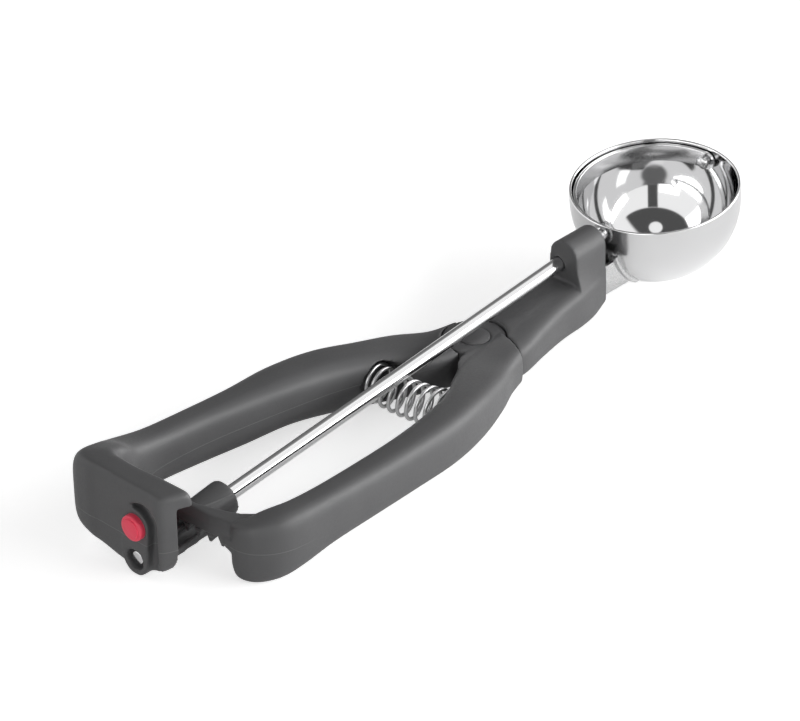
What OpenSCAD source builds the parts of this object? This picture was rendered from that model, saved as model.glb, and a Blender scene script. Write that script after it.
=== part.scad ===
// Squeeze-handle portion scoop: lever, rack and pinion turn a scraper inside a steel bowl.
// All sizes are in millimetres. Z is up from the table, X runs along the tool to the bowl.

/* [Bowl] */
// outer radius of the bowl
bowl_r = 25; // [23:0.5:30]
// sheet thickness of the bowl
bowl_wall = 0.8; // [0.6:0.1:1.2]
// height of the rim above the spindle axis
rim_h = 3.9; // [2:0.1:6]

/* [Spindle] */
// rod diameter
rod_d = 4.2; // [3.6:0.1:4.6]
// radial running clearance round the rod
rod_fit = 0.06; // [0.03:0.01:0.1]
// angle between the rod and the table in degrees
rod_tilt = 5.55; // [4.5:0.05:6.5]
// number of pinion teeth
pinion_teeth = 6; // [6:1:6]
// gear module of rack and pinion
gear_m = 1.25; // [1.1:0.05:1.35]

/* [Scraper] */
// outer radius of the scraper strip
blade_r = 23.2; // [22:0.1:23.4]
// thickness of the scraper strip
blade_t = 0.9; // [0.6:0.1:1.2]
// width of the scraper strip
blade_w = 5.6; // [4:0.1:6]

/* [Handle] */
// distance from bowl centre back to the lever pivot
pivot_x = 78; // [74:1:82]
// radius of the round lever knuckle
knuckle_r = 9; // [8:0.5:10]
// thickness of each handle leg
leg_t = 9.6; // [9:0.2:11]
// distance from bowl centre back to the end face
tail_x = 209.5; // [205:0.5:214]
// height of the tail housing
tail_h = 28; // [26:0.5:30]

/* [Spring] */
// wire diameter of the return spring
wire_d = 1.1; // [0.8:0.1:1.3]
// outer diameter of the return spring
spring_d = 11.6; // [9:0.2:12]
// number of turns
spring_turns = 9; // [6:1:11]

/* [Stud] */
// diameter of the red size stud
stud_d = 6.8; // [6:0.1:8.4]
// how far the stud stands out of the end face
stud_h = 1.9; // [1:0.1:2.5]

/* [Hidden] */
$fn = 64;

charcoal = [0.27, 0.27, 0.28];
charcoal_b = [0.36, 0.36, 0.37];
steel = [0.8, 0.8, 0.82];
red = [0.85, 0.2, 0.28];

// shift that puts the middle of the whole outline at the origin
mid_x = 92.82;
mid_y = 2.35;

rod_r = rod_d / 2;
pitch_r = pinion_teeth * gear_m / 2;
tip_r = pitch_r + gear_m;
root_r = pitch_r - 1.15 * gear_m;
rack_arm = 192.4 - pivot_x;
rack_step = 360 * gear_m / 2 / rack_arm;
// turn of the pinion that puts a tooth into the rack's gap at rest
gear_phase = 90 / pinion_teeth;
part_z = 11.3;

// places children on the spindle axis: X along the rod, origin at the bowl centre
module on_rod() {
  translate([0, 0, bowl_r])
    rotate([0, -rod_tilt, 0])
      children();
}

// a round bar along the rod from a to b
module bar(a, b, r) {
  translate([a, 0, 0])
    rotate([0, 90, 0])
      cylinder(h = b - a, r = r);
}

// Loft: each station is [x, y, heading, half width, low z, high z, corner power]
function station_at(s, t) =
  let (n = len(s) - 1, i = min(floor(t), n - 1), f = t - i)
  let (a = s[max(i - 1, 0)], b = s[i], c = s[i + 1], d = s[min(i + 2, n)])
  0.5 * (2 * b + (c - a) * f + (2 * a - 5 * b + 4 * c - d) * f * f
    + (3 * b - a - 3 * c + d) * f * f * f);
function sgn_pow(v, p) = sign(v) * pow(abs(v), p);
function ring_point(q, k, m) =
  let (ang = 360 * (k + 0.5) / m)
  let (u = q[3] * sgn_pow(cos(ang), q[6]))
  let (v = (q[5] - q[4]) / 2 * sgn_pow(sin(ang), q[6]))
  [q[0] + u * sin(q[2]), q[1] - u * cos(q[2]), (q[5] + q[4]) / 2 + v];
module loft(s, sub, m) {
  steps = (len(s) - 1) * sub;
  pts = [for (j = [0:steps]) for (k = [0:m - 1]) ring_point(station_at(s, j / sub), k, m)];
  wall_a = [for (j = [0:steps - 1]) for (k = [0:m - 1])
    [j * m + k, j * m + (k + 1) % m, (j + 1) * m + (k + 1) % m]];
  wall_b = [for (j = [0:steps - 1]) for (k = [0:m - 1])
    [j * m + k, (j + 1) * m + (k + 1) % m, (j + 1) * m + k]];
  cap_a = [[for (k = [0:m - 1]) m - 1 - k]];
  cap_b = [[for (k = [0:m - 1]) steps * m + k]];
  polyhedron(points = pts, faces = concat(wall_a, wall_b, cap_a, cap_b), convexity = 8);
}

// fixed leg: from the tail housing round the corner and along to the pivot
fixed_leg = [
  [-204.9, -12.5, 66, 3.4, 10.5, 26.2, 0.5],
  [-204.9, -12.1, 68, 4.2, 8.2, 27.2, 0.42],
  [-204.9, -10.9, 74, 4.7, 5.6, 27.8, 0.34],
  [-204.8, -8.8, 83, 4.8, 3.6, tail_h, 0.29],
  [-204.8, -6.0, 90, 4.6, 2.1, tail_h, 0.27],
  [-204.9, -1.5, 90, 4.5, 1.4, tail_h, 0.26],
  [-205.2, 5.5, 90, 4.2, 1.9, tail_h, 0.26],
  [-205.0, 12.5, 80, 4.4, 3.2, tail_h, 0.3],
  [-204.4, 16.2, 68, 5.2, 3.8, tail_h, 0.36],
  [-201.9, 20.3, 48, 6.6, 4.4, tail_h - 0.2, 0.46],
  [-196.5, 21.6, 27, 5.6, 4.8, 25.6, 0.5],
  [-190.5, 23.8, 16, 6.0, 4.9, 22.5, 0.6],
  [-180.0, 24.4, 0, 5.1, 4.6, 19.9, 0.62],
  [-165.0, 23.8, -4, 5.1, 3.6, 19.0, 0.62],
  [-150.0, 22.4, -7, 5.8, 3.2, 18.8, 0.62],
  [-135.0, 20.7, -9, 6.8, 3.4, 18.6, 0.62],
  [-121.0, 17.9, -17, 7.0, 1.9, 17.9, 0.62],
  [-109.0, 13.2, -26, 6.4, 1.0, 16.7, 0.6],
  [-98.0, 9.6, -25, 7.0, 1.0, 15.0, 0.55],
  [-87.0, 5.2, -20, 7.0, 1.3, 13.6, 0.5],
  [-76.0, 3.0, -6, 8.0, 1.6, 13.4, 0.5]
];

// neck: from the pivot to the tower that carries the rod
neck_run = [
  [-83.0, -0.8, 0, 11.6, 1.5, 13.3, 0.5],
  [-77.0, -1.9, 0, 12.4, 1.6, 13.4, 0.5],
  [-71.0, -2.6, 0, 12.0, 1.8, 13.7, 0.52],
  [-62.0, -2.4, 0, 10.3, 2.0, 14.5, 0.52],
  [-51.0, -1.8, 0, 8.9, 2.0, 15.4, 0.52],
  [-42.0, -1.3, 0, 8.6, 2.0, 16.1, 0.48],
  [-35.5, -1.2, 0, 8.0, 2.2, 16.5, 0.45],
  [-31.0, -1.1, 0, 7.2, 3.6, 16.6, 0.42]
];

// moving leg: tail corner, straight grip and shoulder
moving_leg = [
  [-191.4, -19.9, -88, 2.6, 3.0, 16.9, 0.5],
  [-190.8, -21.4, -80, 3.7, 0.6, 17.4, 0.45],
  [-188.6, -24.6, -56, 4.9, 0.0, 18.8, 0.5],
  [-184.2, -27.6, -30, 5.3, 0.8, 19.8, 0.56],
  [-178.5, -29.0, -12, 5.0, 2.4, 20.0, 0.6],
  [-168.0, -29.5, -2, leg_t / 2, 4.2, 19.8, 0.62],
  [-152.0, -29.7, 0, leg_t / 2, 4.8, 19.4, 0.62],
  [-136.0, -29.4, 2, leg_t / 2 + 0.2, 4.7, 19.2, 0.62],
  [-121.0, -28.0, 10, leg_t / 2 + 0.7, 3.8, 18.6, 0.62],
  [-107.0, -23.5, 24, leg_t / 2 + 1.5, 2.6, 17.2, 0.62],
  [-95.0, -16.9, 30, leg_t / 2 + 2.8, 1.9, 15.2, 0.6],
  [-84.0, -11.3, 22, leg_t / 2 + 2.8, 1.6, 13.6, 0.56],
  [-70.0, -8.4, 8, leg_t / 2 + 1.2, 1.8, 13.5, 0.52]
];

// vertical round hole or post on the pivot axis
module at_pivot(z0, z1, r) {
  translate([-pivot_x, 0, z0])
    cylinder(h = z1 - z0, r = r);
}

// arched post that carries the front end of the rod
module rounded_tower() {
  translate([-42.4, 0, 0])
    rotate([90, 0, 90])
      linear_extrude(height = 11.8)
        union() {
          translate([-1.75, 23.6])
            circle(r = 5.05);
          polygon([[-8.2, 6], [-8.2, 14.5], [-7.2, 19.5], [-6.72, 24.4], [3.22, 24.4],
            [3.8, 19.5], [4.6, 14.5], [4.6, 6]]);
        }
}

// boss on the end face, round the stud and the rod hole
module end_boss() {
  translate([-tail_x, 0, 0])
    rotate([90, 0, 90])
      linear_extrude(height = 3.2)
        union() {
          translate([0, rod_z(-tail_x)])
            circle(r = 4.6);
          translate([-0.7, 16.2])
            circle(r = 4.9);
          polygon([[-5.6, 16], [-4.6, 4.4], [4.6, 4.9], [4.1, 16]]);
        }
}

// shallow moat between the boss and the corner of the housing
module end_moat() {
  translate([-tail_x - 2, 0, 0])
    rotate([90, 0, 90])
      linear_extrude(height = 3.9)
        polygon([[2, 17], [2.6, 19.8], [0.6, 21.9], [-2, 23.2], [-5.2, 23.4], [-7.6, 22.4], [-9, 20.4],
          [-9.3, 18], [-9.2, 12], [-8.9, 7.8], [-8.6, 3], [-8.4, -1], [-1, -1], [-1, 16]]);
}
function rod_z(x) = bowl_r + x * tan(rod_tilt);

module housing_cavity() {
  translate([-205, -24, -1])
    cube([17.4, 39.6, 24.8]);
}

// front bearing of the spindle, held by a low web to the fixed leg and by a rail to the end wall
module barrel() {
  on_rod()
    bar(-188.2, -177.2, 5.2);
  translate([-187.6, 0, 0])
    rotate([90, 0, 90])
      linear_extrude(height = 3.2)
        polygon([[0, 1.7], [15, 1.7], [22, 5.6], [24, 8], [24, 12], [21.5, 12], [17.6, 7],
          [14, 5.2], [0, 5.2]]);
  on_rod()
    translate([-207, -7.2, -1])
      cube([22.4, 1.6, 2.1]);
  on_rod()
    translate([-188, -7, -1])
      cube([3.2, 6, 2]);
}

// everything the lever needs out of the way beside the neck
module lever_side() {
  translate([0, 0, -1])
    linear_extrude(height = 50)
      polygon([[-118, -40], [-75.6, -40], [-75.6, -17], [-74.2, -13.2], [-72.6, -9],
        [-71.9, -5.5], [-71.9, -2.6], [-118, -2.6]]);
}

module frame_body() {
  color(charcoal)
    difference() {
      union() {
        difference() {
          union() {
            loft(fixed_leg, 4, 28);
            loft(neck_run, 4, 28);
            rounded_tower();
          }
          end_moat();
          lever_side();
          at_pivot(6.7, 40, knuckle_r + 0.35);
          housing_cavity();
        }
        at_pivot(1.7, 6.45, knuckle_r + 0.8);
        end_boss();
        barrel();
      }
      on_rod()
        bar(-230, -20, rod_r + rod_fit);
      on_rod()
        bar(-230, -207.7, 3.1);
      stud_hole();
      far_seat();
      bracket_slot();
      at_pivot(0, 20, 3);
      at_pivot(0, 2.6, 4.6);
    }
}

module stud_hole() {
  translate([-tail_x - 1, -1.1, 15.9])
    rotate([0, 90, 0])
      cylinder(h = 7.6, r = 2.5);
}

// spring seats: a round bore in each leg, in line with the spring
far_end = [-108.6, 10.2, 8.2];
near_end = [-104.6, -17.2, 8.2];
seat_turn = atan2(near_end[0] - far_end[0], far_end[1] - near_end[1]);
module far_seat() {
  translate(far_end)
    rotate([0, 0, seat_turn])
      rotate([90, 0, 0])
        cylinder(h = 14, r = spring_d / 2 + 0.4);
}

module near_seat() {
  translate(near_end)
    rotate([0, 0, seat_turn])
      rotate([-90, 0, 0])
        cylinder(h = 14, r = spring_d / 2 + 0.4);
}

module bracket_slot() {
  translate([-41, -4.4, 5.2])
    cube([20, 8.8, 9.6]);
}

module bowl() {
  color(steel)
    on_rod()
      difference() {
        union() {
          sphere(r = bowl_r, $fn = 128);
          cylinder(h = rim_h, r = bowl_r, $fn = 128);
        }
        sphere(r = bowl_r - bowl_wall, $fn = 128);
        cylinder(h = 40, r = bowl_r - bowl_wall, $fn = 128);
        translate([-40, -40, rim_h])
          cube([80, 80, 40]);
        bar(-30, -20, rod_r + 0.25);
        bar(20, 30, 1.1);
      }
}

module bowl_bracket() {
  color(steel)
    difference() {
      union() {
        translate([-41, -4.4, 5.2])
          cube([38, 8.8, 9.6]);
        intersection() {
          translate([-40, -5.6, 4.4])
            cube([40, 11.2, 12.4]);
          on_rod()
            sphere(r = bowl_r + 0.9, $fn = 128);
        }
      }
      translate([-30.6, -3.5, 6.2])
        cube([40, 7, 20]);
      on_rod()
        sphere(r = bowl_r, $fn = 128);
    }
}

module size_stud() {
  color(red)
    union() {
      translate([-tail_x - stud_h, -1.1, 15.9])
        rotate([0, 90, 0])
          cylinder(h = stud_h, r = stud_d / 2);
      translate([-tail_x, -1.1, 15.9])
        rotate([0, 90, 0])
          cylinder(h = 6.6, r = 2.5);
    }
}

module pivot_pin() {
  color(charcoal_b)
    union() {
      at_pivot(0.9, 2.6, 4.6);
      at_pivot(2.6, 12.2, 3);
      at_pivot(12.2, 13.3, 4.6);
    }
}

module far_pivot_pin() {
  color(steel)
    on_rod()
      union() {
        bar(21.4, 25.3, 1.1);
        bar(bowl_r, 25.7, 1.9);
        bar(21.0, 21.7, 1.9);
      }
}

// one unbroken wire from the far seat to the near one; both ends run straight into their seats
spring_len = norm(near_end - far_end);
axis_dir = (near_end - far_end) / spring_len;
side_dir = [axis_dir[1], -axis_dir[0], 0];
end_gap = 0.3;
coil_a = end_gap + wire_d;
coil_b = spring_len - end_gap - wire_d;
end_pitch = wire_d + 0.75;
open_pitch = (coil_b - coil_a - 2 * end_pitch) / (spring_turns - 2);
function spring_run(turn) =
  turn < 1 ? coil_a + end_pitch * turn
  : turn > spring_turns - 1 ? coil_b - end_pitch * (spring_turns - turn)
  : coil_a + end_pitch + open_pitch * (turn - 1);
// middle line of the spring, sagging a little between its seats
function spring_mid(run) =
  let (f = run / spring_len)
  far_end + axis_dir * run + [-0.5, 0, -1.7] * 4 * f * (1 - f);
function spring_point(turn) =
  let (r = (spring_d - wire_d) / 2)
  spring_mid(spring_run(turn)) + r * (side_dir * cos(360 * turn) + [0, 0, 1] * sin(360 * turn));
function unit(v) = v / norm(v);
coil_pts = [for (j = [0:8 * spring_turns]) spring_point(j / 8)];
first_pt = coil_pts[0] - axis_dir * wire_d;
last_pt = coil_pts[8 * spring_turns] + axis_dir * wire_d;
wire_pts = concat([first_pt], coil_pts, [last_pt]);
ring_count = 8 * spring_turns + 2;
function wire_dir(j) =
  j == 0 || j == ring_count ? axis_dir
  : unit(unit(wire_pts[j + 1] - wire_pts[j]) + unit(wire_pts[j] - wire_pts[j - 1]));
function out_dir(j) =
  let (c = spring_mid((wire_pts[j] - far_end) * axis_dir))
  let (e = wire_pts[j] - c, d = wire_dir(j))
  unit(e - d * (e * d));
wire_gap = min([for (j = [0:ring_count - 8]) for (k = [j + 6:min(j + 10, ring_count)])
  norm(wire_pts[j] - wire_pts[k])]) - wire_d;
echo(spring_self_gap_mm = wire_gap);

module return_spring() {
  color(steel)
    polyhedron(
      points = [for (j = [0:ring_count]) for (k = [0:5])
        let (d = wire_dir(j))
        let (u = out_dir(j))
        let (v = cross(d, u))
        wire_pts[j] + wire_d / 2 * (cos(60 * k) * u + sin(60 * k) * v)],
      faces = concat(
        [for (j = [0:ring_count - 1]) for (k = [0:5])
          [j * 6 + k, j * 6 + (k + 1) % 6, (j + 1) * 6 + (k + 1) % 6]],
        [for (j = [0:ring_count - 1]) for (k = [0:5])
          [j * 6 + k, (j + 1) * 6 + (k + 1) % 6, (j + 1) * 6 + k]],
        [[5, 4, 3, 2, 1, 0]],
        [[for (k = [0:5]) ring_count * 6 + k]]
      ),
      convexity = 10
    );
}

// one rack tooth, pointing down, as a prism along the rod
module rack_tooth() {
  on_rod()
    translate([-195.6, 0, pitch_r])
      rotate([90, 0, 90])
        linear_extrude(height = 4.2)
          polygon([[-1.15, 1.6], [-0.32, -gear_m * 0.8], [0.32, -gear_m * 0.8], [1.15, 1.6]]);
}

module lever_handle() {
  color(charcoal_b)
    difference() {
      union() {
        difference() {
          loft(moving_leg, 4, 28);
          at_pivot(-2, 6.8, knuckle_r + 1.2);
          neck_side();
        }
        at_pivot(7.0, 13.0, knuckle_r);
        rack_bar();
        tail_ramp();
        for (i = [-1:4])
          translate([-pivot_x, 0, 0])
            rotate([0, 0, rack_step * (i + 0.25)])
              translate([pivot_x, 0, 0])
                rack_tooth();
      }
      at_pivot(0, 20, 3 + 0.06);
      at_pivot(12.1, 20, 4.7);
      near_seat();
    }
}

// everything of the lever that would meet the neck and the fixed leg
module neck_side() {
  translate([0, 0, -3])
    linear_extrude(height = 50)
      polygon([[-75.9, -40], [-75.9, -17], [-74.5, -13.1], [-72.9, -8.9], [-72.2, -5.4],
        [-72.2, -4], [-118, -4], [-118, 40], [-40, 40], [-40, -40]]);
}

// sloping underside between the last tooth and the deep tail block
module tail_ramp() {
  translate([-194.2, 0, 0])
    rotate([90, 0, 90])
      linear_extrude(height = 5.0)
        polygon([[-16.0, 12.5], [-16.9, 9.9], [-18.4, 9.3], [-21.5, 8.2], [-21.5, 12.5]]);
}

// curved bar that carries the rack, centred on the pivot
module rack_bar() {
  intersection() {
    translate([-pivot_x, 0, 11.5])
      difference() {
        cylinder(h = 5.1, r = rack_arm + 2.8, $fn = 180);
        translate([0, 0, -1])
          cylinder(h = 8, r = rack_arm - 0.4, $fn = 180);
      }
    translate([-210, -14, 0])
      cube([40, 18.2, 40]);
  }
  translate([0, 0, 11.6])
    linear_extrude(height = 5.1)
      polygon([[-193.5, -5], [-191.4, -7.5], [-190.4, -11], [-189.0, -15], [-187.4, -18.2],
        [-185, -20.8], [-181.5, -22.8], [-184, -26], [-193.6, -21.5], [-194.9, -13], [-194.9, -5]]);
}

// the rod stops at the strip and takes the rivet's shank
module spindle_rod() {
  color(steel)
    on_rod()
      difference() {
        bar(-209.1, -blade_r, rod_r);
        bar(-blade_r - 2, -20, 1.6);
      }
}

module gear_shape() {
  union() {
    circle(r = root_r + 0.2);
    for (i = [0:pinion_teeth - 1])
      rotate(i * 360 / pinion_teeth)
        polygon([[1.0, -1.0], [pitch_r - 0.6, -0.78], [pitch_r, -0.66], [tip_r, -0.3],
          [tip_r, 0.3], [pitch_r, 0.66], [pitch_r - 0.6, 0.78], [1.0, 1.0]]);
  }
}

module pinion() {
  color(charcoal_b)
    on_rod()
      difference() {
        translate([-203.2, 0, 0])
          rotate([90, 0, 90])
            linear_extrude(height = 13.8)
              rotate(90 - gear_phase)
                gear_shape();
        bar(-210, -180, rod_r);
      }
}

module rod_collar() {
  color(steel)
    on_rod()
      difference() {
        bar(-28.0, -26.6, 4.6);
        bar(-30, -20, rod_r);
      }
}

module scraper_blade() {
  color(steel)
    on_rod()
      difference() {
        union() {
          intersection() {
            difference() {
              translate([0, 0, -blade_w / 2])
                cylinder(h = blade_w, r = blade_r, $fn = 128);
              translate([0, 0, -10])
                cylinder(h = 20, r = blade_r - blade_t, $fn = 128);
            }
            translate([-30, 0, -10])
              cube([60, 30, 20]);
          }
          bar(-blade_r, -blade_r + blade_t, blade_w / 2);
          bar(blade_r - blade_t, blade_r, blade_w / 2);
        }
        bar(-30, -15, 1.6);
        bar(15, 30, 1.1 + rod_fit);
      }
}

module scraper_rivet() {
  color(steel)
    on_rod()
      union() {
        bar(-blade_r - 2, -blade_r + blade_t + 0.5, 1.6);
        bar(-blade_r + blade_t + 0.15, -blade_r + blade_t + 0.85, 2.3);
      }
}

translate([mid_x, mid_y, 0]) {
  frame_body();
  bowl();
  bowl_bracket();
  size_stud();
  pivot_pin();
  far_pivot_pin();
  return_spring();
  lever_handle();
  spindle_rod();
  pinion();
  rod_collar();
  scraper_blade();
  scraper_rivet();
}
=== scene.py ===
import math

import bmesh
import bpy
import numpy as np
from mathutils import Matrix, Vector


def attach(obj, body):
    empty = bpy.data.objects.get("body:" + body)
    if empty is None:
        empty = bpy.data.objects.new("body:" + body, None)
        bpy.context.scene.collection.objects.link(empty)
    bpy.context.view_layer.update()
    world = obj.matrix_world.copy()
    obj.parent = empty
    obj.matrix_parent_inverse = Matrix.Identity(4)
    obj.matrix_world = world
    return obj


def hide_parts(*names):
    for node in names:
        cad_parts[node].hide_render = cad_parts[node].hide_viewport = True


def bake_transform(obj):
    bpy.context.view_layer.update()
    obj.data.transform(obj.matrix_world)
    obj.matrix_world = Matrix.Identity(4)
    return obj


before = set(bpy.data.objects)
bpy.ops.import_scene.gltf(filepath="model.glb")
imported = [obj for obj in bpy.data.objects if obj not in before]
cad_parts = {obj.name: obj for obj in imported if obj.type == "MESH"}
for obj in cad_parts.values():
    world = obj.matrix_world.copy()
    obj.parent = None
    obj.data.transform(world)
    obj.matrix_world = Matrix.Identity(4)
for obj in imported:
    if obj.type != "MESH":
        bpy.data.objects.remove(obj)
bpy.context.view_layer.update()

# ---------------------------------------------------------------- measures, in millimetres
MID = Vector((92.82, 2.35, 0.0))          # shift from the bowl's centre line to the model's origin
BOWL_R, BOWL_WALL, RIM_H = 25.0, 0.8, 3.9
ROD_TILT = math.radians(5.55)
ROD_R = 2.1
PIVOT_X, KNUCKLE_R = 78.0, 9.0
TAIL_X = 209.5
GEAR_M, PINION_TEETH = 1.25, 6
PITCH_R = GEAR_M * PINION_TEETH / 2
RACK_ARM = 192.4 - PIVOT_X
SPRING_D, WIRE_D, SPRING_TURNS = 11.6, 1.1, 9
FAR_END = Vector((-108.6, 10.2, 9.2))
NEAR_END = Vector((-104.6, -17.2, 8.5))
SEAT_TURN = math.atan2(NEAR_END.x - FAR_END.x, FAR_END.y - NEAR_END.y)
STUD_AT = (-TAIL_X, -1.1, 15.9)
STUD_R, STUD_SHANK_R = 3.75, 2.5
SEAT_R = SPRING_D / 2 + 0.4               # pockets that hold the spring's ends
BLADE_R, BLADE_T, BLADE_W = 23.75, 0.9, 5.6
PIN_R, PIN_HEAD_R = 3.0, 4.6
BORE_R = ROD_R + 0.1                      # the rod's bearings
TAIL_ROOM_X = -187.6                      # where the housing's room ends
FRAME_GRAIN, LEVER_GRAIN = 0.435, 0.36    # size of the smallest moulded detail

# stations of the moulded legs: x, y, heading, half width, low z, high z, corner power
FIXED_LEG = [
    (-204.7, -12.6, 66, 3.7, 10.5, 26.6, 0.5),
    (-204.7, -12.2, 68, 4.5, 8.2, 27.5, 0.42),
    (-204.7, -11.0, 74, 4.9, 5.6, 28.0, 0.34),
    (-204.8, -8.8, 83, 4.8, 3.6, 28.0, 0.29),
    (-204.8, -6.0, 90, 4.6, 2.1, 28.0, 0.27),
    (-204.9, -1.5, 90, 4.5, 1.4, 28.0, 0.26),
    (-205.2, 5.5, 90, 4.2, 1.9, 28.0, 0.26),
    (-205.0, 12.5, 80, 4.4, 3.2, 28.0, 0.3),
    (-204.6, 16.4, 68, 5.3, 3.8, 27.7, 0.36),
    (-202.3, 20.5, 48, 6.7, 4.4, 27.2, 0.46),
    (-196.5, 21.6, 27, 5.6, 4.8, 25.6, 0.5),
    (-190.5, 23.8, 16, 6.0, 4.9, 22.5, 0.6),
    (-180.0, 24.4, 0, 5.1, 4.6, 19.9, 0.62),
    (-165.0, 23.8, -4, 5.1, 3.6, 19.0, 0.62),
    (-150.0, 22.4, -7, 5.8, 3.2, 18.8, 0.62),
    (-135.0, 21.1, -9, 7.2, 3.4, 18.8, 0.62),
    (-121.0, 18.6, -17, 7.7, 1.9, 18.3, 0.62),
    (-109.0, 14.2, -26, 7.4, 1.0, 17.3, 0.6),
    (-98.0, 9.9, -25, 8.5, 1.0, 15.6, 0.55),
    (-87.0, 4.9, -20, 8.3, 1.3, 13.9, 0.5),
    (-76.0, 3.0, -6, 8.0, 1.6, 13.4, 0.5),
]
NECK_RUN = [
    (-83.0, -0.8, 0, 11.6, 1.5, 13.3, 0.5),
    (-77.0, -1.9, 0, 12.4, 1.6, 13.4, 0.5),
    (-71.0, -2.6, 0, 12.0, 1.8, 13.7, 0.52),
    (-62.0, -2.4, 0, 10.3, 2.0, 14.5, 0.52),
    (-51.0, -1.8, 0, 8.9, 2.0, 15.4, 0.52),
    (-42.0, -1.3, 0, 8.6, 2.0, 16.1, 0.48),
    (-35.5, -1.2, 0, 7.6, 2.4, 16.5, 0.45),
    (-30.0, -1.1, 0, 6.4, 4.2, 16.6, 0.42),
]
MOVING_LEG = [
    (-191.2, -20.1, -88, 2.6, 3.0, 16.9, 0.5),
    (-190.6, -21.6, -80, 3.7, 0.6, 17.4, 0.45),
    (-188.5, -24.7, -56, 4.9, 0.0, 18.8, 0.5),
    (-184.2, -27.6, -30, 5.3, 0.6, 19.8, 0.56),
    (-178.5, -29.0, -12, 5.0, 1.9, 20.0, 0.6),
    (-168.0, -29.5, -2, 4.8, 3.7, 19.8, 0.62),
    (-152.0, -29.4, 0, 5.1, 4.4, 19.5, 0.62),
    (-136.0, -28.9, 2, 5.4, 4.6, 19.4, 0.62),
    (-121.0, -27.1, 10, 6.1, 4.0, 18.9, 0.62),
    (-107.0, -22.9, 24, 6.6, 2.8, 17.4, 0.62),
    (-95.0, -16.9, 30, 7.6, 1.9, 15.2, 0.6),
    (-84.0, -11.3, 22, 7.6, 1.6, 13.6, 0.56),
    (-70.0, -8.4, 8, 6.0, 1.8, 13.5, 0.52),
]
SEAM = [(-75.75, -17.0), (-74.35, -13.15), (-72.75, -8.95), (-72.05, -5.45)]


def rod_z(x):
    return BOWL_R + x * math.tan(ROD_TILT)


# ---------------------------------------------------------------- mesh helpers
ROD_FRAME = Matrix.Translation((0, 0, BOWL_R)) @ Matrix.Rotation(-ROD_TILT, 4, "Y")
UPRIGHT = Matrix.Identity(4)


def add_object(name, verts, faces, place=UPRIGHT):
    """A mesh object whose millimetre points are put in the model's frame, in metres."""
    mesh = bpy.data.meshes.new(name)
    put = Matrix.Scale(0.001, 4) @ Matrix.Translation(MID) @ place
    mesh.from_pydata([put @ Vector(v) for v in verts], [], faces)
    mesh.validate()
    work = bmesh.new()
    work.from_mesh(mesh)
    bmesh.ops.recalc_face_normals(work, faces=work.faces)
    work.to_mesh(mesh)
    work.free()
    piece = bpy.data.objects.new(name, mesh)
    bpy.context.scene.collection.objects.link(piece)
    return piece


def rings_mesh(name, rings, place=UPRIGHT, closed=False):
    """Skins equal closed rings; capped at both ends unless the rings join up."""
    count, around = len(rings), len(rings[0])
    verts = [p for ring in rings for p in ring]
    faces = []
    last = count if closed else count - 1
    for j in range(last):
        a, b = j * around, ((j + 1) % count) * around
        faces += [(a + k, a + (k + 1) % around, b + (k + 1) % around, b + k)
                  for k in range(around)]
    if not closed:
        faces.append(tuple(range(around))[::-1])
        faces.append(tuple(range((count - 1) * around, count * around)))
    return add_object(name, verts, faces, place)


def leg_loft(name, stations, steps=8, around=72):
    """The moulded legs: a rounded section carried along the stations."""
    s = np.array(stations, float)
    n = len(s) - 1
    rings = []
    for t in np.linspace(0, n, n * steps + 1):
        i = min(int(t), n - 1)
        f = t - i
        a, b, c, d = s[max(i - 1, 0)], s[i], s[i + 1], s[min(i + 2, n)]
        q = 0.5 * (2 * b + (c - a) * f + (2 * a - 5 * b + 4 * c - d) * f ** 2
                   + (3 * b - a - 3 * c + d) * f ** 3)
        turn = math.radians(q[2])
        ring = []
        for k in range(around):
            ang = 2 * math.pi * (k + 0.5) / around
            u = q[3] * math.copysign(abs(math.cos(ang)) ** q[6], math.cos(ang))
            v = (q[5] - q[4]) / 2 * math.copysign(abs(math.sin(ang)) ** q[6], math.sin(ang))
            ring.append((q[0] + u * math.sin(turn), q[1] - u * math.cos(turn), (q[4] + q[5]) / 2 + v))
        rings.append(ring)
    return rings_mesh(name, rings)


def block(name, low, high, place=UPRIGHT):
    (x0, y0, z0), (x1, y1, z1) = low, high
    ring = [(x0, y0), (x1, y0), (x1, y1), (x0, y1)]
    return rings_mesh(name, [[(x, y, z) for x, y in ring] for z in (z0, z1)], place)


def post(name, x, y, z0, z1, r, around=96):
    ring = [(x + r * math.cos(a), y + r * math.sin(a))
            for a in np.linspace(0, 2 * math.pi, around, endpoint=False)]
    return rings_mesh(name, [[(px, py, z) for px, py in ring] for z in (z0, z1)])


def turned(name, profile, place=ROD_FRAME, around=96):
    """A turned piece: profile is (distance along X, radius); a radius of 0 closes an end."""
    rings = []
    for x, r in profile:
        r = max(r, 0.004)
        rings.append([(x, r * math.cos(a), r * math.sin(a))
                      for a in np.linspace(0, 2 * math.pi, around, endpoint=False)])
    return rings_mesh(name, rings, place)


def side_plate(name, outline, x0, x1, place=UPRIGHT):
    """A plate whose (y, z) outline runs from x0 to x1."""
    return rings_mesh(name, [[(x, y, z) for y, z in outline] for x in (x0, x1)], place)


def plan_plate(name, outline, z0, z1):
    """A plate whose (x, y) outline runs from z0 to z1."""
    return rings_mesh(name, [[(x, y, z) for x, y in outline] for z in (z0, z1)])


def sloped_plate(name, outline, slim, z0, z1, z2):
    """A plate whose (x, y) outline runs from z0 to z1 and then slopes to the slim one at z2."""
    levels = ((z0, outline), (z1, outline), (z2, slim))
    return rings_mesh(name, [[(x, y, z) for x, y in plan] for z, plan in levels])


def arc(cx, cy, r, a0, a1, steps=16):
    return [(cx + r * math.cos(math.radians(a)), cy + r * math.sin(math.radians(a)))
            for a in np.linspace(a0, a1, steps + 1)]


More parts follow.
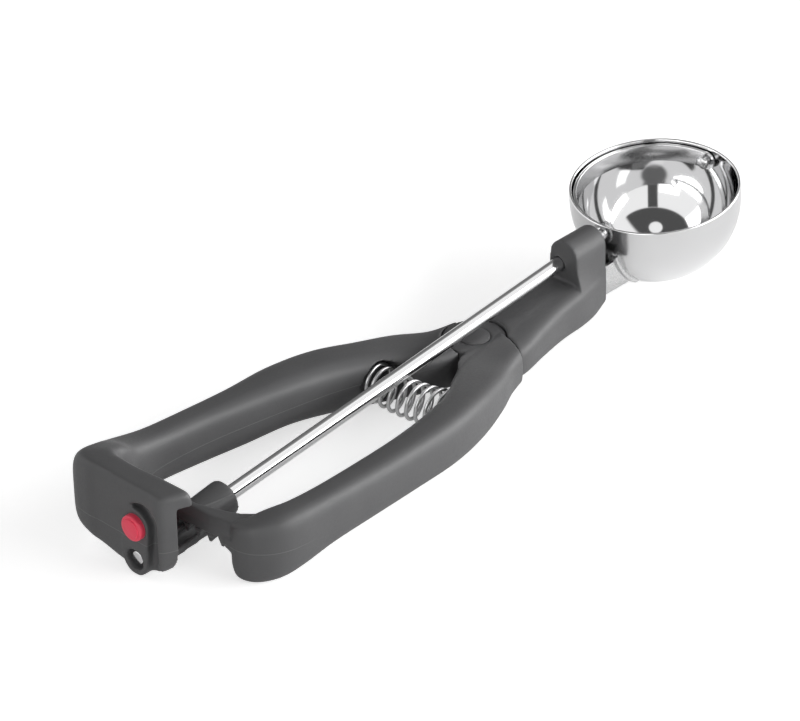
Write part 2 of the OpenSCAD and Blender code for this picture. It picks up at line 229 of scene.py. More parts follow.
def baked(piece):
    """Turns a piece with modifiers into a plain mesh."""
    depsgraph = bpy.context.evaluated_depsgraph_get()
    mesh = bpy.data.meshes.new_from_object(piece.evaluated_get(depsgraph))
    piece.modifiers.clear()
    piece.data = mesh
    mesh.name = piece.name
    return piece


def combine(piece, others, operation):
    """Adds the other solids to the piece, or cuts them out of it."""
    for other in others:
        modifier = piece.modifiers.new("cut", "BOOLEAN")
        modifier.operation = operation
        modifier.solver = "MANIFOLD"
        modifier.object = other
        baked(piece)
        bpy.data.objects.remove(other)
    return piece


def moulded(piece, grain, rounds, strength=0.5):
    """Rounds every edge of a moulded piece the way a mould does."""
    modifier = piece.modifiers.new("grain", "REMESH")
    modifier.mode = "VOXEL"
    modifier.voxel_size = grain / 1000
    modifier = piece.modifiers.new("round", "SMOOTH")
    modifier.factor = strength
    modifier.iterations = rounds
    return baked(piece)


def shaded(piece, angle=40):
    """Smooth shading that keeps edges sharper than the angle, in degrees."""
    piece.data.shade_smooth()
    if angle < 180:
        piece.data.set_sharp_from_angle(angle=math.radians(angle))
    return piece


def bevelled(piece, width, segments=3, angle=30):
    modifier = piece.modifiers.new("edge", "BEVEL")
    modifier.width = width / 1000
    modifier.segments = segments
    modifier.limit_method = "ANGLE"
    modifier.angle_limit = math.radians(angle)
    return baked(piece)


# ---------------------------------------------------------------- finishes
class Finish:
    """A node material built link by link."""

    def __init__(self, name, **sockets):
        self.material = bpy.data.materials.new(name)
        self.material.use_nodes = True
        self.tree = self.material.node_tree
        self.shader = self.tree.nodes["Principled BSDF"]
        self.coords = self.tree.nodes.new("ShaderNodeTexCoord").outputs["Object"]
        for key, value in sockets.items():
            self.shader.inputs[key.replace("_", " ")].default_value = value

    def node(self, kind, **settings):
        made = self.tree.nodes.new("ShaderNode" + kind)
        for key, value in settings.items():
            if key in made.bl_rna.properties:
                setattr(made, key, value)
            else:
                self.put(made.inputs[key.replace("_", " ")], value)
        return made

    def put(self, socket, value):
        if isinstance(value, bpy.types.NodeSocket):
            self.tree.links.new(value, socket)
        else:
            socket.default_value = value

    def math(self, operation, *values):
        made = self.tree.nodes.new("ShaderNodeMath")
        made.operation = operation
        for socket, value in zip(made.inputs, values):
            self.put(socket, value)
        return made.outputs[0]

    def noise(self, scale, detail=3.0, roughness=0.5, stretch=None):
        source = self.coords
        if stretch:
            mapping = self.node("Mapping")
            mapping.inputs["Scale"].default_value = stretch
            self.put(mapping.inputs["Vector"], source)
            source = mapping.outputs["Vector"]
        made = self.node("TexNoise", Scale=scale, Detail=detail, Roughness=roughness)
        self.put(made.inputs["Vector"], source)
        return made.outputs["Fac"]

    def ranged(self, value, low, high, out_low, out_high):
        made = self.node("MapRange", clamp=True)
        for socket, number in zip(("From Min", "From Max", "To Min", "To Max"),
                                  (low, high, out_low, out_high)):
            made.inputs[socket].default_value = number
        self.put(made.inputs["Value"], value)
        return made.outputs["Result"]

    def mixed(self, factor, a, b):
        made = self.node("Mix", data_type="RGBA")
        self.put(made.inputs["Factor"], factor)
        self.put(made.inputs[6], a)
        self.put(made.inputs[7], b)
        return made.outputs[2]

    def bump(self, height, distance, strength=1.0, normal=None):
        made = self.node("Bump")
        made.inputs["Strength"].default_value = strength
        made.inputs["Distance"].default_value = distance
        self.put(made.inputs["Height"], height)
        if normal is not None:
            self.put(made.inputs["Normal"], normal)
        return made.outputs["Normal"]


def charcoal_plastic(name, part_line, fade):
    """Spark-textured nylon moulding with a faint line where the mould halves met.

    part_line is (x, z) at both ends of the line; it fades away between the two x values of fade."""
    finish = Finish(name, Roughness=0.5, IOR=1.45)
    mottle = finish.noise(90.0, 4.0)
    fine = finish.noise(5200.0, 2.0)
    pits = finish.noise(1500.0, 3.0)
    split = finish.node("SeparateXYZ")
    finish.put(split.inputs[0], finish.coords)
    # the height of the parting line at both ends of the piece, and how far along it is
    x0, z0, x1, z1 = part_line
    line_z = finish.ranged(split.outputs["X"], x0, x1, z0, z1)
    off = finish.math("ABSOLUTE", finish.math("SUBTRACT", split.outputs["Z"], line_z))
    ridge = finish.math("MULTIPLY", finish.ranged(off, 0.00006, 0.00018, 1.0, 0.0),
                        finish.ranged(split.outputs["X"], fade[0], fade[1], 1.0, 0.0))
    base = finish.mixed(finish.ranged(mottle, 0.3, 0.7, 0.0, 1.0),
                        (0.082, 0.082, 0.084, 1), (0.092, 0.092, 0.094, 1))
    base = finish.mixed(finish.math("MULTIPLY", ridge, 0.35), base, (0.2, 0.2, 0.2, 1))
    finish.put(finish.shader.inputs["Base Color"], base)
    rough = finish.ranged(pits, 0.3, 0.7, 0.45, 0.56)
    finish.put(finish.shader.inputs["Roughness"], rough)
    grain = finish.bump(fine, 0.00003, 0.35)
    grain = finish.bump(pits, 0.00006, 0.2, grain)
    grain = finish.bump(ridge, 0.00008, 0.6, grain)
    finish.put(finish.shader.inputs["Normal"], grain)
    return finish.material


def polished_steel(name, smear=0.05, tone=0.78, satin_beyond=None):
    """Mirror-polished steel with faint wiping marks; duller beyond the given distance, in metres,
    from the bowl's centre."""
    finish = Finish(name, Metallic=1.0, IOR=2.6)
    cloud = finish.noise(45.0, 2.0)
    wipe = finish.noise(260.0, 2.0, stretch=(1.0, 1.0, 0.2))
    low = (tone * 0.95, tone * 0.95, tone * 0.955, 1)
    high = (tone, tone, tone * 1.005, 1)
    finish.put(finish.shader.inputs["Base Color"], finish.mixed(cloud, low, high))
    rough = finish.ranged(wipe, 0.3, 0.75, smear, smear + 0.02)
    if satin_beyond:
        reach = finish.node("VectorMath", operation="DISTANCE")
        finish.put(reach.inputs[0], finish.coords)
        reach.inputs[1].default_value = (Vector((0, 0, BOWL_R)) + MID) / 1000
        outside = finish.ranged(reach.outputs["Value"], satin_beyond - 0.0001,
                                satin_beyond + 0.0001, 0.0, 0.1)
        rough = finish.math("ADD", rough, outside)
    finish.put(finish.shader.inputs["Roughness"], rough)
    finish.put(finish.shader.inputs["Normal"], finish.bump(cloud, 0.0001, 0.04))
    return finish.material


def satin_steel(name, tone=0.66, rough=0.24, stretch=(1.0, 1.0, 1.0)):
    """Barrel-polished small parts, with fine drawn lines."""
    finish = Finish(name, Metallic=1.0, IOR=2.6)
    lines = finish.noise(2600.0, 3.0, stretch=stretch)
    cloud = finish.noise(300.0, 2.0)
    base = finish.mixed(cloud, (tone * 0.86, tone * 0.86, tone * 0.87, 1), (tone, tone, tone, 1))
    finish.put(finish.shader.inputs["Base Color"], base)
    finish.put(finish.shader.inputs["Roughness"], finish.ranged(lines, 0.3, 0.7, rough, rough + 0.1))
    finish.put(finish.shader.inputs["Normal"], finish.bump(lines, 0.000005, 0.12))
    return finish.material


def red_plastic(name):
    """Bright red moulded plug."""
    finish = Finish(name, IOR=1.48)
    cloud = finish.noise(420.0, 3.0)
    fine = finish.noise(4200.0, 2.0)
    base = finish.mixed(cloud, (0.92, 0.06, 0.115, 1), (0.96, 0.07, 0.13, 1))
    finish.put(finish.shader.inputs["Base Color"], base)
    finish.put(finish.shader.inputs["Roughness"], finish.ranged(fine, 0.3, 0.7, 0.34, 0.44))
    finish.put(finish.shader.inputs["Normal"], finish.bump(fine, 0.00002, 0.2))
    return finish.material


def dressed(piece, material, slot, body, *nodes):
    """Gives a finished piece its material, its body and the solids that it stands for."""
    piece.data.materials.clear()
    piece.data.materials.append(material)
    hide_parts(*nodes)
    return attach(piece, body)


# ---------------------------------------------------------------- the frame moulding
def lever_side(z0, z1, out):
    """Plan outline of the lever's room beside the neck; out widens it."""
    seam = [(x + out, y) for x, y in SEAM]
    return plan_plate("lever room", [(-118, -40), (SEAM[0][0] + out, -40)] + seam
                      + [(SEAM[-1][0] + out, -2.6), (-118, -2.6)], z0, z1)


def tower_ring(outline, x, foot):
    """The tower's outline at x, with its foot drawn in or out by the given factor."""
    ring = []
    for y, z in outline:
        low = min(max((21.5 - z) / 7.0, 0.0), 1.0)
        ring.append((x, y * (1 + (foot - 1) * low), z))
    return ring


def make_frame_moulding():
    body = leg_loft("grip_frame", FIXED_LEG)
    tower = arc(-1.85, 23.7, 5.15, 0, 180, 24)
    tower += [(-7.1, 21.5), (-7.5, 19.0), (-8.1, 16.8), (-8.7, 15.0), (-9.1, 13.0), (-9.1, 6),
              (5.6, 6), (5.6, 13.0), (5.0, 15.0), (4.3, 16.8), (3.6, 19.0), (3.35, 21.5)]
    lug_z = rod_z(-TAIL_X)
    boss = arc(-0.7, 16.2, 4.9, 0, 180, 24) + arc(0, lug_z, 4.6, 176, 356, 24)
    moat = [(2, 17), (2.6, 19.8), (1.7, 20.9), (0.6, 21.9), (-0.7, 22.7), (-2, 23.2), (-3.6, 23.5),
            (-5.2, 23.4), (-6.5, 23.1), (-7.6, 22.4), (-8.4, 21.5), (-9, 20.4), (-9.25, 19),
            (-9.3, 18), (-9.2, 12), (-8.9, 7.8), (-8.6, 3), (-8.4, -1), (-1, -1), (-1, 16)]
    combine(body, [
        leg_loft("neck", NECK_RUN),
        rings_mesh("tower", [tower_ring(tower, x, foot) for x, foot in
                             ((-42.4, 1.04), (-39.0, 0.98), (-35.0, 0.91), (-29.7, 0.82))]),
    ], "UNION")
    combine(body, [
        side_plate("moat", moat, -TAIL_X - 2, -TAIL_X + 2.9),
        lever_side(-1, 49, 0.15),
        post("disc room", -PIVOT_X, 0, 6.7, 40, KNUCKLE_R + 0.35),
        block("tail room", (-205, -24, -1), (TAIL_ROOM_X, 15.6, 23.8)),
    ], "DIFFERENCE")
    web = [(0, 1.7), (15, 1.7), (22, 5.6), (24, 8), (24, 12), (21.5, 12), (17.6, 7), (14, 5.2), (0, 5.2)]
    combine(body, [
        post("disc seat", -PIVOT_X, 0, 1.7, 6.45, KNUCKLE_R + 0.8),
        side_plate("boss", boss, -TAIL_X, -TAIL_X + 3.2),
        turned("barrel", [(-188.2, 0), (-188.2, 4.9), (-178.0, 5.25), (-176.8, 5.1), (-176.8, 0)]),
        side_plate("web", web, TAIL_ROOM_X, -184.4),
        block("rail", (-207, -7.2, -1), (-184.6, -5.6, 1.1), ROD_FRAME),
        block("rail end", (-188, -7, -1), (-184.8, -1, 1), ROD_FRAME),
    ], "UNION")
    across = Matrix.Translation(FAR_END) @ Matrix.Rotation(SEAT_TURN - math.pi / 2, 4, "Z")
    combine(body, [
        turned("rod bore", [(-230, 0), (-230, BORE_R), (-20, BORE_R), (-20, 0)]),
        turned("end bore", [(-230, 0), (-230, 3.1), (-207.7, 3.1), (-207.7, 0)]),
        turned("stud bore", [(-211, 0), (-211, STUD_SHANK_R), (-202, STUD_SHANK_R), (-202, 0)],
               Matrix.Translation((0, STUD_AT[1], STUD_AT[2]))),
        turned("far seat", [(0, 0), (0, SEAT_R), (14, SEAT_R), (14, 0)], across),
        block("bracket slot", (-41, -4.5, 5.1), (-21, 4.5, 14.9)),
        post("pin bore", -PIVOT_X, 0, -1, 20, PIN_R + 0.05),
        post("pin head room", -PIVOT_X, 0, -1, 2.6, PIN_HEAD_R + 0.05),
    ], "DIFFERENCE")
    moulded(body, FRAME_GRAIN, 5)
    return shaded(body, 180)


# ---------------------------------------------------------------- the squeeze lever
def rack_tooth(i):
    step = math.degrees(math.pi * GEAR_M / RACK_ARM)
    swing = Matrix.Translation((-PIVOT_X, 0, 0)) @ Matrix.Rotation(math.radians(step * (i + 0.25)), 4, "Z")
    place = swing @ Matrix.Translation((PIVOT_X, 0, 0)) @ ROD_FRAME
    tip_z, root_z = PITCH_R - GEAR_M * 0.8, PITCH_R + 1.6
    outline = [(-1.15, root_z), (-0.32, tip_z), (0.32, tip_z), (1.15, root_z)]
    return side_plate("tooth", outline, -195.6, -191.4, place)


def make_lever():
    lever = leg_loft("squeeze_lever", MOVING_LEG)
    combine(lever, [
        post("disc foot", -PIVOT_X, 0, -2, 6.8, KNUCKLE_R + 1.2),
        plan_plate("neck room", [(-75.9, -40)] + [(x - 0.15, y) for x, y in SEAM]
                   + [(-72.2, -4), (-118, -4), (-118, 40), (-40, 40), (-40, -40)], -3, 47),
    ], "DIFFERENCE")
    ring, slim = (arc(-PIVOT_X, 0, RACK_ARM + out, 177.9, 187.0, 24)
                  + arc(-PIVOT_X, 0, RACK_ARM - 0.4, 187.0, 177.9, 24) for out in (2.8, 1.3))
    flare = [(-193.5, -5), (-191.4, -7.5), (-190.4, -11), (-189.0, -15), (-187.4, -18.2), (-185, -20.8),
             (-181.5, -22.8), (-184, -26), (-193.6, -21.5), (-194.9, -13), (-194.9, -5)]
    slim_flare = flare[:7] + [(-184, -25), (-192.2, -21.2), (-193.4, -13), (-193.4, -5)]
    corner = [(-86.2, -4.1), (-88.6, -4.6), (-91, -5.8), (-93.5, -8), (-93, -11), (-84, -10), (-80, -6)]
    ramp = [(-16.0, 12.5), (-16.9, 9.9), (-18.4, 9.3), (-21.5, 8.2), (-21.5, 12.5)]
    combine(lever, [
        post("disc", -PIVOT_X, 0, 7.0, 13.0, KNUCKLE_R),
        sloped_plate("rack bar", ring, slim, 11.5, 14.4, 16.6),
        sloped_plate("flare", flare, slim_flare, 11.6, 14.4, 16.7),
        side_plate("ramp", ramp, -194.2, -189.2),
        plan_plate("disc corner", corner, 7.2, 13.2),
    ], "UNION")
    across = Matrix.Translation(NEAR_END) @ Matrix.Rotation(SEAT_TURN + math.pi / 2, 4, "Z")
    combine(lever, [
        post("pin bore", -PIVOT_X, 0, -1, 20, PIN_R + 0.06),
        post("pin head room", -PIVOT_X, 0, 12.1, 20, PIN_HEAD_R + 0.1),
        turned("near seat", [(0, 0), (0, SEAT_R), (14, SEAT_R), (14, 0)], across),
    ], "DIFFERENCE")
    moulded(lever, LEVER_GRAIN, 4)
    combine(lever, [rack_tooth(i) for i in range(-1, 5)], "UNION")
    return shaded(lever, 50)


# ---------------------------------------------------------------- bowl and scraper
def make_bowl():
    """A spun hemisphere with a short straight collar and a rolled rim."""
    outer = [(BOWL_R * math.cos(a), BOWL_R * math.sin(a)) for a in np.linspace(-math.pi / 2, 0, 72)]
    inner_r = BOWL_R - BOWL_WALL
    inner = [(inner_r * math.cos(a), inner_r * math.sin(a)) for a in np.linspace(0, -math.pi / 2, 72)]
    side = [(BOWL_R, z) for z in np.linspace(0.3, RIM_H - 0.45, 8)]
    lip_r = BOWL_WALL / 2
    lip = [(BOWL_R - lip_r + lip_r * math.cos(a), RIM_H - lip_r + lip_r * math.sin(a))
           for a in np.linspace(0, math.pi, 13)]
    wall = [(inner_r, z) for z in np.linspace(RIM_H - 0.45, 0.3, 8)]
    profile = outer + side + lip + wall + inner
    around = 224
    rings = []
    for k in range(around):
        c, s = math.cos(2 * math.pi * k / around), math.sin(2 * math.pi * k / around)
        rings.append([(max(r, 0.0) * c, max(r, 0.0) * s, z) for r, z in profile])
    bowl = rings_mesh("scoop_bowl", rings, ROD_FRAME, closed=True)
    work = bmesh.new()
    work.from_mesh(bowl.data)
    bmesh.ops.remove_doubles(work, verts=work.verts, dist=1e-6)
    bmesh.ops.recalc_face_normals(work, faces=work.faces)
    work.to_mesh(bowl.data)
    work.free()
    return shaded(bowl, 180)


def make_scraper():
    """A bent strip round the bowl wall, with a round eye at each end."""
    corner = 0.22
    near, far = -corner, -BLADE_T + corner
    top, low = BLADE_W / 2 - corner, -BLADE_W / 2 + corner
    section = []
    for cx, cz, a0 in ((near, top, 0), (far, top, 90), (far, low, 180), (near, low, 270)):
        section += arc(cx, cz, corner, a0, a0 + 90, 4)
    rings = []
    for a in np.linspace(0, math.pi, 97):
        rings.append([((BLADE_R + u) * math.cos(a), (BLADE_R + u) * math.sin(a), w)
                      for u, w in section])
    strip = rings_mesh("scraper_strip", rings, ROD_FRAME)
    eyes = [turned("eye", [(x0, 0), (x0, BLADE_W / 2), (x0 + BLADE_T, BLADE_W / 2), (x0 + BLADE_T, 0)])
            for x0 in (-BLADE_R, BLADE_R - BLADE_T)]
    combine(strip, eyes, "UNION")
    bevelled(strip, 0.12, 2, 45)
    return shaded(strip, 35)


def make_bracket():
    """The folded strip that ties the bowl to the handle."""
    bracket = block("bowl_hanger", (-41, -4.4, 5.2), (-3, 4.4, 14.8))
    flange = block("flange", (-40, -5.6, 4.4), (0, 5.6, 16.8))
    ball = [(-25.9 * math.cos(a), 25.9 * math.sin(a)) for a in np.linspace(0, math.pi, 49)]
    combine(flange, [turned("ball", ball, ROD_FRAME, 128)], "INTERSECT")
    combine(bracket, [flange], "UNION")
    hollow = [(-25.0 * math.cos(a), 25.0 * math.sin(a)) for a in np.linspace(0, math.pi, 73)]
    combine(bracket, [block("channel", (-30.6, -3.5, 6.2), (9.4, 3.5, 26.2)),
                      turned("bowl room", hollow, ROD_FRAME, 160)], "DIFFERENCE")
    bevelled(bracket, 0.15, 2, 35)
    return shaded(bracket, 35)


# ---------------------------------------------------------------- rod, gear, pins and stud
def make_rod():
    ends = [(-209.5, 0), (-209.5, 1.75), (-209.4, 1.98), (-209.2, ROD_R)]
    middle = [(x, ROD_R) for x in np.linspace(-208.0, -23.4, 40)]
    return shaded(turned("drive_rod", ends + middle + [(-23.2, 1.95), (-23.2, 0)]), 50)


def make_collar():
    profile = [(-27.9, 2.1), (-27.9, 3.5), (-27.8, 3.7), (-27.6, 3.8), (-26.9, 3.8),
               (-26.7, 3.7), (-26.6, 3.5), (-26.6, 2.1)]
    rings = [[(x, r * math.cos(a), r * math.sin(a))
              for a in np.linspace(0, 2 * math.pi, 96, endpoint=False)] for x, r in profile]
    return shaded(rings_mesh("rod_washer", rings, ROD_FRAME, closed=True), 35)


def make_pinion():
    outline = []
    root_r, tip_r = PITCH_R - 1.15 * GEAR_M + 0.2, PITCH_R + GEAR_M
    flank = [(-1.0, root_r), (-0.78, PITCH_R - 0.6), (-0.66, PITCH_R), (-0.3, tip_r)]
    flank += [(-half, r) for half, r in reversed(flank)]
    for i in range(PINION_TEETH):
        turn = math.radians(90 - 90 / PINION_TEETH + i * 360 / PINION_TEETH)
        for half, r in flank:
            outline.append((r * math.cos(turn) - half * math.sin(turn),
                            r * math.sin(turn) + half * math.cos(turn)))
    gear = side_plate("pinion_gear", outline, -203.2, -189.4, ROD_FRAME)
    bevelled(gear, 0.14, 2, 28)
    return shaded(gear, 35)


def make_pivot_pin():
    stand = Matrix.Translation((-PIVOT_X, 0, 0)) @ Matrix.Rotation(-math.pi / 2, 4, "Y")
    r, head = PIN_R, PIN_HEAD_R
    profile = [(0.9, 0), (0.9, 4.2), (1.02, 4.48), (1.3, head), (2.6, head), (2.6, r), (12.2, r),
               (12.2, head), (12.95, head), (13.2, 4.5), (13.3, 4.25), (13.3, 0)]
    return shaded(turned("hinge_pin", profile, stand), 35)


def make_far_pin():
    profile = [(21.0, 0), (21.0, 1.5), (21.12, 1.78), (21.3, 1.9), (21.7, 1.9), (21.7, 1.1), (24.9, 1.1),
               (24.9, 1.9), (25.3, 1.9), (25.55, 1.6), (25.68, 1.0), (25.7, 0)]
    return shaded(turned("bowl_rivet", profile), 35)


def make_near_rivet():
    profile = [(-23.2, 0), (-23.2, 1.6), (-22.25, 1.6), (-22.25, 2.3), (-21.9, 2.3), (-21.62, 2.05),
               (-21.48, 1.4), (-21.45, 0)]
    return shaded(turned("scraper_rivet_head", profile), 35)


def make_stud():
    place = Matrix.Translation((0, STUD_AT[1], STUD_AT[2]))
    x, shank = -TAIL_X, STUD_SHANK_R
    profile = [(x - 2.2, 0), (x - 2.2, 2.6), (x - 2.12, 2.85), (x - 1.95, 2.95), (x - 1.8, 2.98),
               (x - 1.78, 3.3), (x - 1.68, 3.55), (x - 1.45, 3.7), (x - 1.1, STUD_R), (x, STUD_R),
               (x, shank), (x + 6.6, shank), (x + 6.6, 0)]
    return shaded(turned("colour_stud", profile, place), 40)


# ---------------------------------------------------------------- return spring
def spring_line():
    """Centre line of the wire: straight tips, close end turns and open turns between them."""
    length = (NEAR_END - FAR_END).length
    along = (NEAR_END - FAR_END) / length
    side = Vector((along.y, -along.x, 0))
    start, stop = 0.3 + WIRE_D, length - 0.3 - WIRE_D
    end_pitch = WIRE_D + 0.75
    open_pitch = (stop - start - 2 * end_pitch) / (SPRING_TURNS - 2)
    r = (SPRING_D - WIRE_D) / 2
    points = []
    for turn in np.linspace(0, SPRING_TURNS, SPRING_TURNS * 40 + 1):
        if turn < 1:
            run = start + end_pitch * turn
        elif turn > SPRING_TURNS - 1:
            run = stop - end_pitch * (SPRING_TURNS - turn)
        else:
            run = start + end_pitch + open_pitch * (turn - 1)
        f = run / length
        mid = FAR_END + along * run + Vector((-0.5, 0, -1.7)) * 4 * f * (1 - f)
        a = 2 * math.pi * turn
        points.append(mid + r * (side * math.cos(a) + Vector((0, 0, 1)) * math.sin(a)))
    return points, along


def make_spring():
    """The wire is a Geometry Nodes tube along the coil's centre line."""
    points, along = spring_line()
    put = Matrix.Scale(0.001, 4) @ Matrix.Translation(MID)
    mesh = bpy.data.meshes.new("return_coil")
    mesh.from_pydata([put @ p for p in points], [(i, i + 1) for i in range(len(points) - 1)], [])
    coil = bpy.data.objects.new("return_coil", mesh)
    bpy.context.scene.collection.objects.link(coil)
    tree = bpy.data.node_groups.new("wire tube", "GeometryNodeTree")
    tree.interface.new_socket("Geometry", in_out="INPUT", socket_type="NodeSocketGeometry")
    radius = tree.interface.new_socket("Wire Radius", in_out="INPUT", socket_type="NodeSocketFloat")
    sides = tree.interface.new_socket("Wire Sides", in_out="INPUT", socket_type="NodeSocketInt")
    tree.interface.new_socket("Geometry", in_out="OUTPUT", socket_type="NodeSocketGeometry")
    enter, leave = tree.nodes.new("NodeGroupInput"), tree.nodes.new("NodeGroupOutput")
    line = tree.nodes.new("GeometryNodeMeshToCurve")
    ring = tree.nodes.new("GeometryNodeCurvePrimitiveCircle")
    tube = tree.nodes.new("GeometryNodeCurveToMesh")
    tube.inputs["Fill Caps"].default_value = True
    real = tree.nodes.new("GeometryNodeRealizeInstances")
    coat = tree.nodes.new("GeometryNodeSetMaterial")
    coat.inputs["Material"].default_value = WIRE
    for a, b in ((enter.outputs["Geometry"], line.inputs[0]), (line.outputs[0], tube.inputs["Curve"]),
                 (enter.outputs["Wire Radius"], ring.inputs["Radius"]),
                 (enter.outputs["Wire Sides"], ring.inputs["Resolution"]),
                 (ring.outputs["Curve"], tube.inputs["Profile Curve"]), (tube.outputs[0], real.inputs[0]),
                 (real.outputs[0], coat.inputs["Geometry"]), (coat.outputs[0], leave.inputs[0])):
        tree.links.new(a, b)
    modifier = coil.modifiers.new("wire", "NODES")
    modifier.node_group = tree
    modifier[radius.identifier] = WIRE_D / 2000
    modifier[sides.identifier] = 14
    baked(coil)
    return shaded(coil, 60)


# ---------------------------------------------------------------- floor, lamps and camera
FLOOR_GLOW = 0.62            # what the floor adds for the camera
FLOOR_SHEEN = 0.24           # what it adds for gloss
PLAIN_WORLD = 0.22           # the world as plain light
STUDIO_WALL, STUDIO_DARK = 1.15, 0.1
GAP_AHEAD, GAP_SIDE = (-0.72, -0.69, 0.0), (0.69, -0.72, 0.0)
SKYLIGHT, FAR_WALL = (-0.22, -0.15, 0.96), (0.62, 0.6, 0.51)
CAMERA_AT = (-778.64, -648.38, 605.60)


def make_floor():
    floor = block("studio_floor", (-4000, -4000, -6), (4000, 4000, 0))
    finish = Finish("pale floor", Roughness=0.9)
    speck = finish.noise(6.0, 2.0)
    finish.put(finish.shader.inputs["Base Color"],
               finish.mixed(speck, (0.86, 0.86, 0.86, 1), (0.88, 0.88, 0.88, 1)))
    tree = finish.tree
    path = tree.nodes.new("ShaderNodeLightPath")
    seen = finish.math("MULTIPLY", path.outputs["Is Camera Ray"], FLOOR_GLOW)
    mirrored = finish.math("MULTIPLY", path.outputs["Is Glossy Ray"], FLOOR_SHEEN)
    finish.put(finish.shader.inputs["Emission Strength"], finish.math("ADD", seen, mirrored))
    finish.shader.inputs["Emission Color"].default_value = (1, 1, 1, 1)
    floor.data.materials.append(finish.material)


def add_softbox(name, at, size, glow, aim=(-60, 0, 10)):
    """A rectangular lamp whose face is as bright as the given glow; 1 is white."""
    light = bpy.data.lights.new(name, "AREA")
    light.shape = "RECTANGLE"
    light.size, light.size_y = size[0] / 1000, size[1] / 1000
    light.energy = glow * math.pi * light.size * light.size_y
    lamp = bpy.data.objects.new(name, light)
    bpy.context.scene.collection.objects.link(lamp)
    start, end = (Vector(at) + MID) / 1000, (Vector(aim) + MID) / 1000
    lamp.location = start
    lamp.rotation_euler = (end - start).to_track_quat("-Z", "Y").to_euler()


def make_world():
    """White to the camera and dimmer as plain light. Gloss sees the studio: white walls, a dark
    ceiling over the camera's side, the dark gap where the camera stands, a dim far wall."""
    world = bpy.data.worlds.new("studio")
    world.use_nodes = True
    tree = world.node_tree
    back = tree.nodes["Background"]
    path = tree.nodes.new("ShaderNodeLightPath")
    spot = tree.nodes.new("ShaderNodeTexCoord")
    split = tree.nodes.new("ShaderNodeSeparateXYZ")
    tree.links.new(spot.outputs["Generated"], split.inputs[0])

    def ramp(value, low, high, out_low, out_high):
        made = tree.nodes.new("ShaderNodeMapRange")
        made.interpolation_type = "SMOOTHSTEP"
        for socket, number in zip(("From Min", "From Max", "To Min", "To Max"),
                                  (low, high, out_low, out_high)):
            made.inputs[socket].default_value = number
        tree.links.new(value, made.inputs["Value"])
        return made.outputs["Result"]

    def maths(operation, a, b):
        made = tree.nodes.new("ShaderNodeMath")
        made.operation = operation
        for socket, value in zip(made.inputs, (a, b)):
            if isinstance(value, bpy.types.NodeSocket):
                tree.links.new(value, socket)
            else:
                socket.default_value = value
        return made.outputs[0]

    def toward(direction):
        made = tree.nodes.new("ShaderNodeVectorMath")
        made.operation = "DOT_PRODUCT"
        tree.links.new(spot.outputs["Generated"], made.inputs[0])
        made.inputs[1].default_value = Vector(direction).normalized()
        return made.outputs["Value"]

    rise, along = split.outputs["Z"], split.outputs["X"]
    ceiling = maths("MULTIPLY", ramp(rise, 0.69, 0.73, 0, 1), ramp(along, 0.1, 0.25, 1, 0))
    # a round opening in the ceiling, nearly overhead
    ceiling = maths("MULTIPLY", ceiling, ramp(toward(SKYLIGHT), 0.985, 0.992, 1, 0))
    gap = maths("MULTIPLY", ramp(maths("ABSOLUTE", toward(GAP_SIDE), 0), 0.1, 0.14, 1, 0),
                maths("MULTIPLY", ramp(toward(GAP_AHEAD), 0.1, 0.3, 0, 1),
                      ramp(rise, 0.02, 0.1, 0, 1)))
    gap = maths("MULTIPLY", gap, ramp(rise, 0.69, 0.73, 1, 0))
    far_wall = ramp(toward(FAR_WALL), 0.8, 0.92, 0, 0.8)
    dark = maths("MAXIMUM", maths("MAXIMUM", ceiling, gap), far_wall)
    studio = ramp(dark, 0, 1, STUDIO_WALL, STUDIO_DARK)
    level = tree.nodes.new("ShaderNodeMix")
    level.data_type = "FLOAT"
    level.inputs[2].default_value = PLAIN_WORLD
    tree.links.new(path.outputs["Is Glossy Ray"], level.inputs[0])
    tree.links.new(studio, level.inputs[3])
    shown = tree.nodes.new("ShaderNodeMix")
    shown.data_type = "FLOAT"
    shown.inputs[3].default_value = 1.0
    tree.links.new(path.outputs["Is Camera Ray"], shown.inputs[0])
    tree.links.new(level.outputs[0], shown.inputs[2])
    tree.links.new(shown.outputs[0], back.inputs["Strength"])
    back.inputs["Color"].default_value = (1, 1, 1, 1)
    bpy.context.scene.world = world


def make_camera():
    right = Vector((0.687874, -0.725658, -0.015817))
    down = Vector((-0.395615, -0.356569, -0.846373))
    ahead = Vector((0.608537, 0.588455, -0.532355))
    data = bpy.data.cameras.new("photo view")
    data.sensor_width = 36
    data.lens = 180
    data.clip_end = 20
    camera = bpy.data.objects.new("photo view", data)
    bpy.context.scene.collection.objects.link(camera)
    turn = Matrix((right, -down, -ahead)).transposed().to_4x4()
    place = (Vector(CAMERA_AT) + MID) / 1000
    camera.matrix_world = Matrix.Translation(place) @ turn
    bpy.context.scene.camera = camera


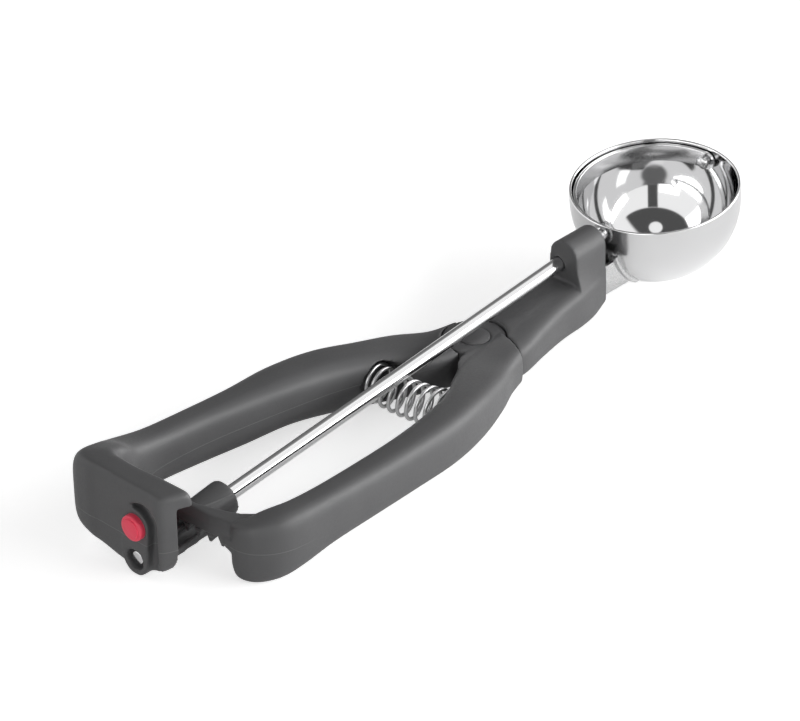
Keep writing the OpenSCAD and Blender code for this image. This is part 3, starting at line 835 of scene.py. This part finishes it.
# ---------------------------------------------------------------- putting it together
FRAME_PLASTIC = charcoal_plastic("charcoal frame plastic", (-0.117, 0.0113, 0.052, 0.0103), (-0.012, 0.0))
LEVER_PLASTIC = charcoal_plastic("charcoal lever plastic", (-0.11, 0.0105, 0.02, 0.0088), (-0.092, -0.083))
GEAR_PLASTIC = charcoal_plastic("charcoal gear plastic", (-0.117, -0.01, 0.05, -0.01), (-0.012, 0.0))
BOWL_STEEL = polished_steel("polished bowl steel", 0.06, 0.74, 0.0246)
ROD_STEEL = polished_steel("polished rod steel", 0.12, 0.76)
STRIP_STEEL = satin_steel("scraper strip steel", 0.72, 0.14)
SMALL_STEEL = satin_steel("small part steel", 0.66, 0.22)
WIRE = satin_steel("spring wire", 0.66, 0.3)
STUD_RED = red_plastic("stud red")

dressed(make_frame_moulding(), FRAME_PLASTIC, "charcoal_plastic", "frame", "frame_body")
dressed(make_bowl(), BOWL_STEEL, "polished_steel", "frame", "bowl")
dressed(make_bracket(), SMALL_STEEL, "satin_steel", "frame", "bowl_bracket")
dressed(make_stud(), STUD_RED, "red_plastic", "frame", "size_stud")
dressed(make_pivot_pin(), GEAR_PLASTIC, "charcoal_plastic", "frame", "pivot_pin")
dressed(make_far_pin(), SMALL_STEEL, "satin_steel", "frame", "far_pivot_pin")
dressed(make_lever(), LEVER_PLASTIC, "charcoal_plastic", "lever", "lever_handle")
dressed(make_rod(), ROD_STEEL, "polished_steel", "spindle", "spindle_rod")
dressed(make_pinion(), GEAR_PLASTIC, "charcoal_plastic", "spindle", "pinion")
dressed(make_collar(), SMALL_STEEL, "satin_steel", "spindle", "rod_collar")
dressed(make_scraper(), STRIP_STEEL, "satin_steel", "spindle", "scraper_blade")
dressed(make_near_rivet(), SMALL_STEEL, "satin_steel", "spindle", "scraper_rivet")

spring = make_spring()
spring.data.materials.clear()
spring.data.materials.append(WIRE)
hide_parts("return_spring")
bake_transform(spring)

make_floor()
make_world()
add_softbox("side softbox", (560, -760, 330), (1600, 640), 5.6)
add_softbox("overhead softbox", (60, 330, 800), (800, 420), 0.15)
add_softbox("tail softbox", (-560, 560, 560), (420, 420), 1.2)
add_softbox("front fill", (-900, -300, 230), (500, 400), 2.2)
make_camera()
bpy.context.scene.view_settings.view_transform = "Standard"
